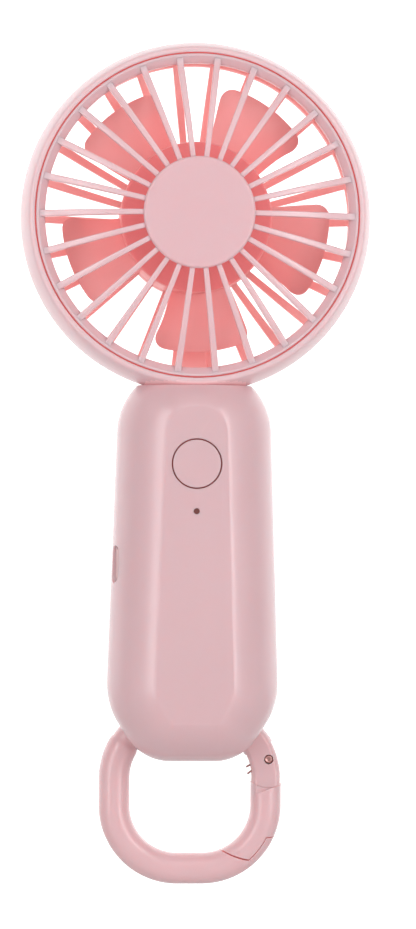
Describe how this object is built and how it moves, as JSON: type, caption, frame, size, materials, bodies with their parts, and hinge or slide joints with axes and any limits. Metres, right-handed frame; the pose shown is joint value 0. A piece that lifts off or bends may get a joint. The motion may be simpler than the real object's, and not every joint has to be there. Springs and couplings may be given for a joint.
{
  "type": "handheld electric fan",
  "caption": "Handheld rechargeable fan: round ribbed head with bladed impeller, push-button handle and a swinging carabiner with a sprung gate.",
  "frame": {"origin": "centre of the hand grip, on the handle's long axis", "axes": "+Z from the handle up to the head, -Y out of the front grille and the button, +X to the viewer's right"},
  "size_m": [0.09, 0.04, 0.2174],
  "materials": {
    "pink_plastic": "satin moulded ABS",
    "coral_plastic": "satin moulded ABS",
    "steel": "plated steel",
    "magnet": "bonded ferrite",
    "lamination": "stacked electrical steel, coated",
    "copper_wire": "enamelled copper",
    "bearing_steel": "ground bearing steel",
    "aluminium": "turned",
    "circuit_board": "solder-masked glass fibre",
    "lead_insulation": "flexible wire insulation",
    "black_plastic": "moulded nylon",
    "clear_plastic": "dark tinted light guide",
    "led_body": "encapsulated chip",
    "cell_sleeve": "heat-shrink sleeve over a steel can",
    "nickel": "spot-welded nickel strip"
  },
  "bodies": {
    "fan_body": {"center_cap": "pink_plastic", "front_grille": "pink_plastic", "front_bezel": "pink_plastic", "rear_housing": "pink_plastic", "rear_grille": "coral_plastic", "motor_stator": "lamination", "motor_windings": "copper_wire", "front_bearing": "bearing_steel", "rear_bearing": "bearing_steel", "motor_base": "aluminium", "motor_board": "circuit_board", "motor_screws": "steel", "motor_leads": "lead_insulation", "neck_screws": "steel", "handle_front": "pink_plastic", "handle_rear": "pink_plastic", "case_screws": "steel", "tact_switch": "black_plastic", "light_pipe": "clear_plastic", "led_chip": "led_body", "control_board": "circuit_board", "board_screws": "steel", "usb_shell": "steel", "usb_tongue": "black_plastic", "battery_cell": "cell_sleeve", "battery_tabs": "nickel", "battery_leads": "lead_insulation", "hinge_cap": "pink_plastic", "hinge_cap_screws": "steel"},
    "spinning_set": {"impeller": "coral_plastic", "motor_rotor": "steel", "rotor_magnet": "magnet", "motor_shaft": "bearing_steel"},
    "button": {"power_button": "pink_plastic", "switch_plunger": "black_plastic"},
    "carabiner": {"carabiner_frame": "pink_plastic", "gate_pin": "steel", "gate_spring": "steel"},
    "gate": {"carabiner_gate": "pink_plastic"}
  },
  "joints": [
    {"name": "fan_spin", "type": "hinge", "parent": "fan_body", "child": "spinning_set", "pos_m": [0, 0, 0.0947], "axis": [0, -1, 0], "continuous": true},
    {"name": "button_press", "type": "slide", "parent": "fan_body", "child": "button", "axis": [0, 1, 0], "range_m": [0, 0.0004], "stiffness_N_per_m": 3000, "springref_m": -0.0003},
    {"name": "carabiner_swing", "type": "hinge", "parent": "fan_body", "child": "carabiner", "pos_m": [0, 0.008, -0.0337], "axis": [1, 0, 0], "range_deg": [0, 90]},
    {"name": "gate_open", "type": "hinge", "parent": "carabiner", "child": "gate", "pos_m": [0.0203, 0.008, -0.0451], "axis": [0, 1, 0], "range_deg": [0, 22], "stiffness_Nm_per_rad": 0.02, "springref_deg": -28.65}
  ]
}
